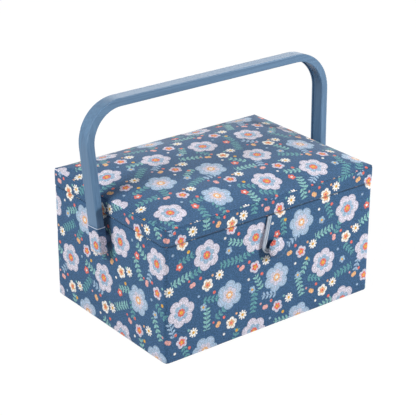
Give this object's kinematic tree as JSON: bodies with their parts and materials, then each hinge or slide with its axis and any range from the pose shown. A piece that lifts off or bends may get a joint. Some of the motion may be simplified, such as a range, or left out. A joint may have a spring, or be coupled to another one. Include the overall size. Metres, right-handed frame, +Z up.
{
  "type": "sewing box",
  "caption": "Cloth-covered sewing box with a padded hinged lid, a swinging carrying handle, a lift-out tray and a cord loop closing over a button.",
  "frame": {"origin": "middle of the base, on the surface that the box stands on", "axes": "+X along the width to the right, +Y to the back, +Z up"},
  "size_m": [0.2932, 0.1959, 0.2297],
  "materials": {
    "printed_cloth": "printed cotton",
    "grey_board": "raw",
    "satin": "satin",
    "wadding": "soft",
    "base_cloth": "plain weave",
    "handle_plastic": "satin moulded",
    "tray_plastic": "moulded",
    "nylon": "moulded",
    "steel": "plated",
    "elastic": "braided"
  },
  "bodies": {
    "box": {"base_cloth": "base_cloth", "base_board": "grey_board", "front_board": "grey_board", "back_board": "grey_board", "left_board": "grey_board", "right_board": "grey_board", "outer_cover": "printed_cloth", "lining_floor": "satin", "lining_front": "satin", "lining_back": "satin", "lining_left": "satin", "lining_right": "satin", "button": "printed_cloth", "button_shank": "nylon", "button_washer": "steel", "handle_rivets": "steel", "rivet_washers": "steel", "pivot_spacers": "nylon", "hinge_cloth": "printed_cloth"},
    "lid": {"lid_board": "grey_board", "lid_front_rail": "grey_board", "lid_back_rail": "grey_board", "lid_left_rail": "grey_board", "lid_right_rail": "grey_board", "lid_padding": "wadding", "lid_cover": "printed_cloth", "lid_lining": "satin", "lid_pocket": "satin", "pocket_elastic": "elastic", "pin_cushion": "satin"},
    "handle": {"handle": "handle_plastic", "handle_foot_left": "printed_cloth", "handle_foot_right": "printed_cloth"},
    "tray": {"tray": "tray_plastic"},
    "loop": {"closure_loop": "elastic"}
  },
  "joints": [
    {"name": "lid_hinge", "type": "hinge", "parent": "box", "child": "lid", "pos_m": [0, 0.0925, 0.11865], "axis": [-1, 0, 0], "range_deg": [0, 105], "deforming": ["hinge_cloth"]},
    {"name": "handle_swing", "type": "hinge", "parent": "box", "child": "handle", "pos_m": [0, 0, 0.0965], "axis": [-1, 0, 0], "range_deg": [0, 89.25]},
    {"name": "tray_lift", "type": "slide", "parent": "box", "child": "tray", "axis": [0, 0, 1], "range_m": [0, 0.005]},
    {"name": "loop_swing", "type": "hinge", "parent": "lid", "child": "loop", "pos_m": [-0.0066, -0.0937, 0.1187], "axis": [-1, 0, 0], "range_deg": [0, 150], "deforming": ["closure_loop"]}
  ],
  "couplings": [
    {"joint": "handle_swing", "follows": "lid_hinge", "ratio": 0.85}
  ]
}
